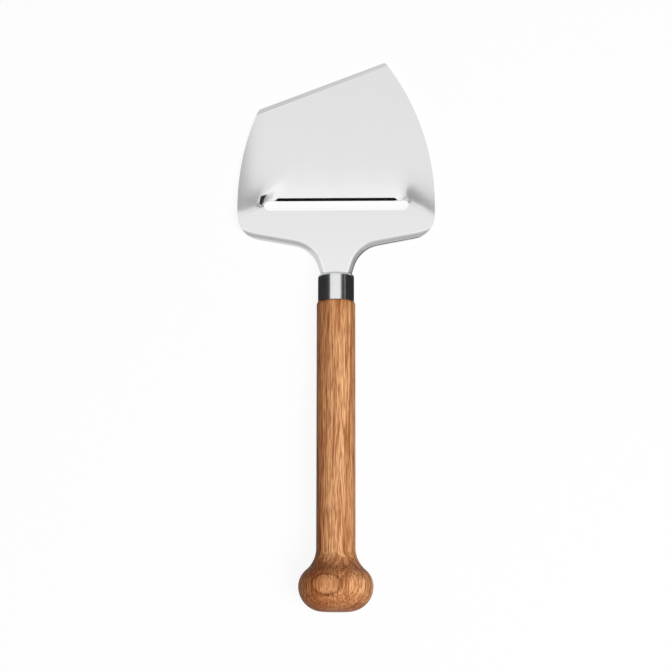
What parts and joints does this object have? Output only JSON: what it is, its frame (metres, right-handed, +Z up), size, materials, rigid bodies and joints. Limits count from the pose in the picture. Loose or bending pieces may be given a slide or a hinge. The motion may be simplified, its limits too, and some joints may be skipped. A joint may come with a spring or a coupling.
{
  "type": "cheese plane",
  "caption": "Cheese plane: a pressed steel blade with a slanted tip and a slicing slot, a polished ferrule, and a turned wooden handle that ends in a knob.",
  "frame": {"origin": "on the table, under the centre of the bounding box, with the tool lying as it rests: on the edge of its tip and the ferrule's rim", "axes": "+Y from the knob to the tip of the blade, +X to the right along the slot, +Z up, towards the top side of the blade"},
  "size_m": [0.0854, 0.2386, 0.0314],
  "materials": {
    "blade_steel": "finely brushed along the tool",
    "ferrule_steel": "polished",
    "oak": "oiled, satin",
    "epoxy": "hardened epoxy"
  },
  "bodies": {
    "root": {"blade": "blade_steel", "ferrule": "ferrule_steel", "handle": "oak", "tang_adhesive": "epoxy"}
  },
  "joints": []
}
